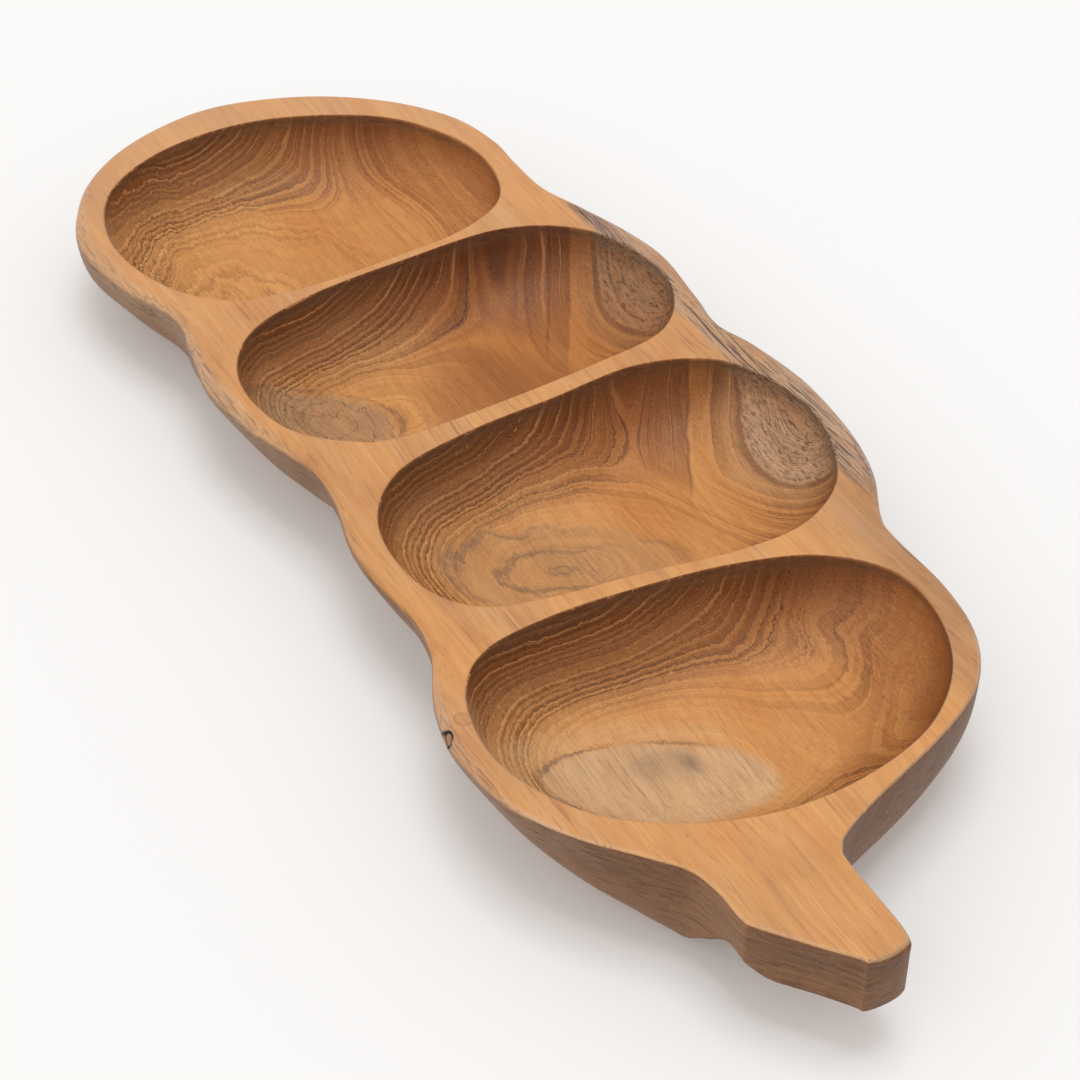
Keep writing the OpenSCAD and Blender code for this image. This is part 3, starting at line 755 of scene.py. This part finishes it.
# The sanded top: ribbons, fine dark hairs and russet streaks along the grain, and soft clouds.
RIBBON_TAN, HAIR_BROWN = (0.76, 0.46, 0.24), (0.33, 0.125, 0.050)
RUSSET, FADED = (0.40, 0.165, 0.070), (0.58, 0.33, 0.18)
ribbon = grain(0.014, 0.22, 3.0, 0.6, 1.2)
wood = (top * ribbon.up(-0.2, 1.0) * 0.62).mix(wood, wood.tint((0.76, 0.62, 0.50)))
wood = (top * ribbon.down(-1.0, 0.0) * 0.38).mix(wood, RIBBON_TAN)
hair = grain(0.045, 1.0).up(0.25, 0.60) * grain(0.012, 0.05).up(-0.5, 0.5)
wood = (top * hair * 0.80).mix(wood, HAIR_BROWN)
wood = (top * russet * 0.55).mix(wood, RUSSET)
mottle = grain(0.05, 0.09, 3.0)
wood = (top * mottle.up(-0.2, 0.9) * 0.60).mix(wood, wood.tint((0.82, 0.72, 0.62)))
blush = grain(0.014, 0.05)
wood = (top * blush.up(-0.5, 0.6) * 0.90).mix(wood, wood.tint((0.80, 0.82, 0.98)))
wood = (top * blush.down(-0.8, 0.0) * 0.45).mix(wood, wood.tint((0.93, 0.82, 0.70)))
dark_side = y.up(35.0, 62.0) * x.up(40.0, 90.0)
wood = (top * dark_side * 0.80).mix(wood, wood.tint((0.68, 0.72, 0.88)))
wood = (top * (1.0 - edge_right) * (0.16 + 0.30 * x.down(-215.0, -60.0))).mix(wood, FADED)

# Stain of the old bark on the wood round the encased knot.
STAIN, STAIN_AT, STAIN_RADIUS = (0.018, 0.013, 0.012), (103.7, -84.9, 30.7), 2.35
stain = p.away(STAIN_AT, (STAIN_RADIUS,) * 3).length() + 0.16 * p.noise((0.7, 0.7, 0.7), 1.0)
wood = (stain.near(1.0, 0.10, 0.30) * 0.95).mix(wood, STAIN)

teak_shader.inputs["Specular IOR Level"].default_value = 0.24
rough = 0.46 + 0.08 * fine + 0.16 * pore
height = 0.10 * streak + 0.06 * fine - 0.30 * pore - 0.08 * late + 0.04 * speck
feed(teak_shader, wood, rough, height, 0.5, 0.0003)
coat(tray, teak)
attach(tray, "root")
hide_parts("tray_body")

# Encased knot
# The dead branch knot that the trunk grew round: harder, redder wood held by its bark ring.
# Its CAD solid keeps its shape and gets knot wood with rings of its own.
RINGS_PER_MM = 2.6
KNOT_LIGHT, KNOT_DARK, KNOT_SPECK = (0.42, 0.19, 0.075), (0.22, 0.09, 0.035), (0.12, 0.05, 0.02)
knot_wood, knot_shader, p = new_material("knot_teak")
off_heart = p.node("ShaderNodeVectorMath", {0: p, 1: tuple(knot_at)}, operation="SUBTRACT")
knot_rings = (off_heart.length() * RINGS_PER_MM + 0.6 * p.noise((1.2, 1.2, 1.2), 2.0)).line(0.0, 0.4)
knot_colour = (knot_rings * 0.5).mix(KNOT_LIGHT, KNOT_DARK)
knot_colour = (p.noise((3.0, 3.0, 3.0), 2.0).up(0.1, 0.7) * 0.4).mix(knot_colour, KNOT_SPECK)
knot_height = 0.3 * knot_rings + 0.3 * p.noise((3.0, 3.0, 3.0), 3.0)
feed(knot_shader, knot_colour, 0.5 + 0.12 * knot_rings, knot_height, 0.5, 0.0003)
coat(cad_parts["encased_knot"], knot_wood)

# Bark ring
# The thin black collar of old bark between the knot and the sound wood, dry, rough and cracked.
# The wood that closed round it holds it in the seat.
BARK_BLACK, BARK_BROWN, BARK_CRACK = (0.012, 0.009, 0.008), (0.045, 0.028, 0.018), (0.004, 0.003, 0.003)
bark, bark_shader, p = new_material("old_bark")
crust = p.noise((2.4, 2.4, 2.4), 4.0, 0.65)
cracks = p.noise((4.5, 4.5, 4.5), 2.0).up(0.1, 0.5)
bark_colour = crust.up(-0.3, 0.6).mix(BARK_BLACK, BARK_BROWN)
bark_colour = (cracks * 0.8).mix(bark_colour, BARK_CRACK)
feed(bark_shader, bark_colour, 0.72 + 0.15 * crust, 0.5 * crust - 0.4 * cracks, 0.7, 0.0004)
coat(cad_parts["knot_bark_ring"], bark)

# Floor, light and camera
# A seamless pale floor a hair's breadth under the tray. It glows very slightly, so that the shadow
# on it stays as light as in a white room.
FLOOR_HALF, FLOOR_DROP = 6, 0.0002
PAPER, PAPER_GLOW = (0.70, 0.705, 0.71, 1.0), (1.0, 0.90, 0.84, 1.0)
floor_corners = [(a * FLOOR_HALF, b * FLOOR_HALF, -FLOOR_DROP)
                 for a, b in ((-1, -1), (1, -1), (1, 1), (-1, 1))]
floor_mesh = bpy.data.meshes.new("floor")
floor_mesh.from_pydata(floor_corners, [], [(0, 1, 2, 3)])
floor = bpy.data.objects.new("floor", floor_mesh)
bpy.context.scene.collection.objects.link(floor)
paper = bpy.data.materials.new("paper")
paper.use_nodes = True
paper_shader = next(n for n in paper.node_tree.nodes if n.type == "BSDF_PRINCIPLED")
for name, value in (("Base Color", PAPER), ("Emission Color", PAPER_GLOW), ("Emission Strength", 0.15),
                    ("Roughness", 0.9), ("Specular IOR Level", 0.1)):
    paper_shader.inputs[name].default_value = value
floor_mesh.materials.append(paper)

# A warm-white surround, one large soft light almost overhead and a weaker one from the left front.
SURROUND, SURROUND_STRENGTH = (1.0, 0.965, 0.94, 1.0), 0.80
world = bpy.data.worlds.new("studio")
world.use_nodes = True
world.node_tree.nodes["Background"].inputs["Color"].default_value = SURROUND
world.node_tree.nodes["Background"].inputs["Strength"].default_value = SURROUND_STRENGTH
bpy.context.scene.world = world


def softbox(name, place, size, power, colour):
    """A square light of that size at place, aimed at the middle of the tray."""
    light = bpy.data.lights.new(name, "AREA")
    light.shape, light.size, light.energy, light.color = "SQUARE", size, power, colour
    lamp = bpy.data.objects.new(name, light)
    back = np.array(place, float) / np.linalg.norm(place)
    side = np.cross([0, 0, 1], back)
    side /= np.linalg.norm(side)
    turned = Matrix(np.column_stack([side, np.cross(back, side), back]).tolist()).to_4x4()
    turned.translation = place
    lamp.matrix_world = turned
    bpy.context.scene.collection.objects.link(lamp)


softbox("key", (-0.2, 0.4, 7.9), 4.0, 225.0, (0.93, 0.985, 1.0))
softbox("fill", (1.5, -5.0, 5.0), 5.0, 60.0, (1.0, 0.99, 0.975))

# The camera looks down along the tray from beyond the stem, a little to its left.
FOCAL, SENSOR, NEAR_CLIP = 83.33, 36.0, 0.05
CAMERA_AT = (0.5300, -0.2923, 0.4975)
CAMERA_RIGHT, CAMERA_AHEAD = (0.4836, 0.8753, 0.0), (-0.6705, 0.3705, -0.6428)
lens = bpy.data.cameras.new("camera")
lens.lens, lens.sensor_width, lens.clip_start = FOCAL, SENSOR, NEAR_CLIP
camera = bpy.data.objects.new("camera", lens)
right = np.array(CAMERA_RIGHT) / np.linalg.norm(CAMERA_RIGHT)
ahead = np.array(CAMERA_AHEAD) / np.linalg.norm(CAMERA_AHEAD)
seen = Matrix(np.column_stack([right, np.cross(right, ahead), -ahead]).tolist()).to_4x4()
seen.translation = CAMERA_AT
camera.matrix_world = seen
bpy.context.scene.collection.objects.link(camera)
bpy.context.scene.camera = camera
bpy.context.scene.view_settings.view_transform = "Standard"
